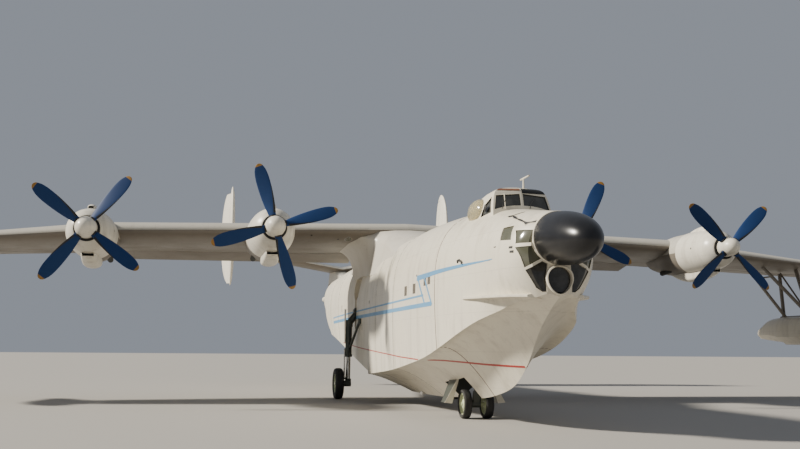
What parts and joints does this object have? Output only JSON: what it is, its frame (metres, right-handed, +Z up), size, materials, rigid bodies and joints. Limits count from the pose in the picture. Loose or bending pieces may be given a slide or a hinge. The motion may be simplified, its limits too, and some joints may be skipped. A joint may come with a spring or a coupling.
{
  "type": "flying boat",
  "caption": "Amphibious flying boat with a stepped hull, high wing, four propeller engines, twin tail fins, stabilising floats and wheels.",
  "frame": {"origin": "on the ground, under the middle of the bounding box", "axes": "+Z up, +Y aft along the hull, +X to port; the nose points along -Y"},
  "size_m": [36, 38.9003, 9.92],
  "materials": {
    "hull_paint": "satin",
    "underside_paint": "satin",
    "radome": "satin",
    "window_glass": "gloss",
    "blister_glass": "gloss",
    "cabin": "matte",
    "propeller_paint": "satin",
    "engine_metal": "matte",
    "gear_paint": "satin",
    "tyre": "matte"
  },
  "bodies": {
    "airframe": {"antenna_mast": "hull_paint", "blister_left": "blister_glass", "blister_right": "blister_glass", "canopy_frame": "hull_paint", "canopy_glass": "window_glass", "engine_1": "engine_metal", "engine_2": "engine_metal", "engine_3": "engine_metal", "engine_4": "engine_metal", "fin_left": "hull_paint", "fin_right": "hull_paint", "float_left": "hull_paint", "float_right": "hull_paint", "float_struts_left": "underside_paint", "float_struts_right": "underside_paint", "hull": "hull_paint", "hull_forebody": "hull_paint", "hull_nose": "hull_paint", "hull_tail": "hull_paint", "instrument_panel": "cabin", "main_leg_left": "gear_paint", "main_leg_right": "gear_paint", "nacelle_1": "hull_paint", "nacelle_2": "hull_paint", "nacelle_3": "hull_paint", "nacelle_4": "hull_paint", "nose_door_left": "hull_paint", "nose_door_right": "hull_paint", "nose_glass": "window_glass", "nose_leg": "gear_paint", "pilot_seats": "cabin", "radome": "radome", "tail_boom": "hull_paint", "tailplane": "hull_paint", "wing_center": "underside_paint", "wing_outer_left": "underside_paint", "wing_outer_right": "underside_paint"},
    "propeller_1": {"propeller_1": "propeller_paint"},
    "propeller_2": {"propeller_2": "propeller_paint"},
    "propeller_3": {"propeller_3": "propeller_paint"},
    "propeller_4": {"propeller_4": "propeller_paint"},
    "aileron_left": {"aileron_left": "underside_paint"},
    "aileron_right": {"aileron_right": "underside_paint"},
    "flap_left": {"flap_left": "underside_paint"},
    "flap_right": {"flap_right": "underside_paint"},
    "elevator_left": {"elevator_left": "hull_paint"},
    "elevator_right": {"elevator_right": "hull_paint"},
    "rudder_left": {"rudder_left": "hull_paint"},
    "rudder_right": {"rudder_right": "hull_paint"},
    "main_wheel_left": {"main_wheel_left": "tyre"},
    "main_wheel_right": {"main_wheel_right": "tyre"},
    "nose_steer": {"nose_fork": "gear_paint"},
    "nose_wheels": {"nose_wheels": "tyre"},
    "turret": {"turret": "hull_paint"},
    "turret_guns": {"turret_guns": "gear_paint"},
    "water_rudder": {"water_rudder": "hull_paint"}
  },
  "joints": [
    {"name": "propeller_1_spin", "type": "hinge", "parent": "airframe", "child": "propeller_1", "pos_m": [10.36, -6.4, 5.24], "axis": [0, 1, 0], "continuous": true},
    {"name": "propeller_2_spin", "type": "hinge", "parent": "airframe", "child": "propeller_2", "pos_m": [4.845, -6.78, 5.4], "axis": [0, 1, 0], "continuous": true},
    {"name": "propeller_3_spin", "type": "hinge", "parent": "airframe", "child": "propeller_3", "pos_m": [-4.845, -6.78, 5.4], "axis": [0, 1, 0], "continuous": true},
    {"name": "propeller_4_spin", "type": "hinge", "parent": "airframe", "child": "propeller_4", "pos_m": [-10.36, -6.4, 5.24], "axis": [0, 1, 0], "continuous": true},
    {"name": "flap_left_hinge", "type": "hinge", "parent": "airframe", "child": "flap_left", "pos_m": [1.45, -0.08992, 5.45706], "axis": [0.9999, 0.0015, -0.011], "range_deg": [-23, 12]},
    {"name": "flap_right_hinge", "type": "hinge", "parent": "airframe", "child": "flap_right", "pos_m": [-1.45, -0.08992, 5.45706], "axis": [0.9999, -0.0015, 0.011], "range_deg": [-23, 12]},
    {"name": "aileron_left_hinge", "type": "hinge", "parent": "airframe", "child": "aileron_left", "pos_m": [11, -0.17683, 5.30806], "axis": [0.9874, -0.1404, -0.0725], "range_deg": [-20, 20]},
    {"name": "aileron_right_hinge", "type": "hinge", "parent": "airframe", "child": "aileron_right", "pos_m": [-11, -0.17683, 5.30806], "axis": [0.9874, 0.1404, 0.0725], "range_deg": [-20, 20]},
    {"name": "elevator_left_hinge", "type": "hinge", "parent": "airframe", "child": "elevator_left", "pos_m": [0.7, 14.06017, 5.7955], "axis": [0.9866, -0.0054, 0.1628], "range_deg": [-20, 25]},
    {"name": "elevator_right_hinge", "type": "hinge", "parent": "airframe", "child": "elevator_right", "pos_m": [-0.7, 14.06017, 5.7955], "axis": [0.9866, 0.0054, -0.1628], "range_deg": [-20, 25]},
    {"name": "rudder_left_hinge", "type": "hinge", "parent": "airframe", "child": "rudder_left", "pos_m": [5.48, 14.05, 7.41], "axis": [0, 0, 1], "range_deg": [-25, 25]},
    {"name": "rudder_right_hinge", "type": "hinge", "parent": "airframe", "child": "rudder_right", "pos_m": [-5.48, 14.05, 7.41], "axis": [0, 0, 1], "range_deg": [-50, 0]},
    {"name": "main_wheel_left_spin", "type": "hinge", "parent": "airframe", "child": "main_wheel_left", "pos_m": [2.13, -1.6, 0.54], "axis": [1, 0, 0], "continuous": true},
    {"name": "main_wheel_right_spin", "type": "hinge", "parent": "airframe", "child": "main_wheel_right", "pos_m": [-2.13, -1.6, 0.54], "axis": [1, 0, 0], "continuous": true},
    {"name": "nose_steering", "type": "hinge", "parent": "airframe", "child": "nose_steer", "pos_m": [0, -11.76, 0.9], "axis": [0, 0, 1], "range_deg": [-35, 35]},
    {"name": "nose_wheels_spin", "type": "hinge", "parent": "nose_steer", "child": "nose_wheels", "pos_m": [0, -11.66, 0.37], "axis": [1, 0, 0], "continuous": true},
    {"name": "turret_traverse", "type": "hinge", "parent": "airframe", "child": "turret", "pos_m": [0, 4.6, 5.2], "axis": [0, 0, 1], "continuous": true},
    {"name": "turret_elevation", "type": "hinge", "parent": "turret", "child": "turret_guns", "pos_m": [0, 4.87, 5.45], "axis": [1, 0, 0], "range_deg": [-3, 60]},
    {"name": "water_rudder_hinge", "type": "hinge", "parent": "airframe", "child": "water_rudder", "pos_m": [0, 9.56, 2.25], "axis": [0, 0, 1], "range_deg": [-30, 30]}
  ]
}
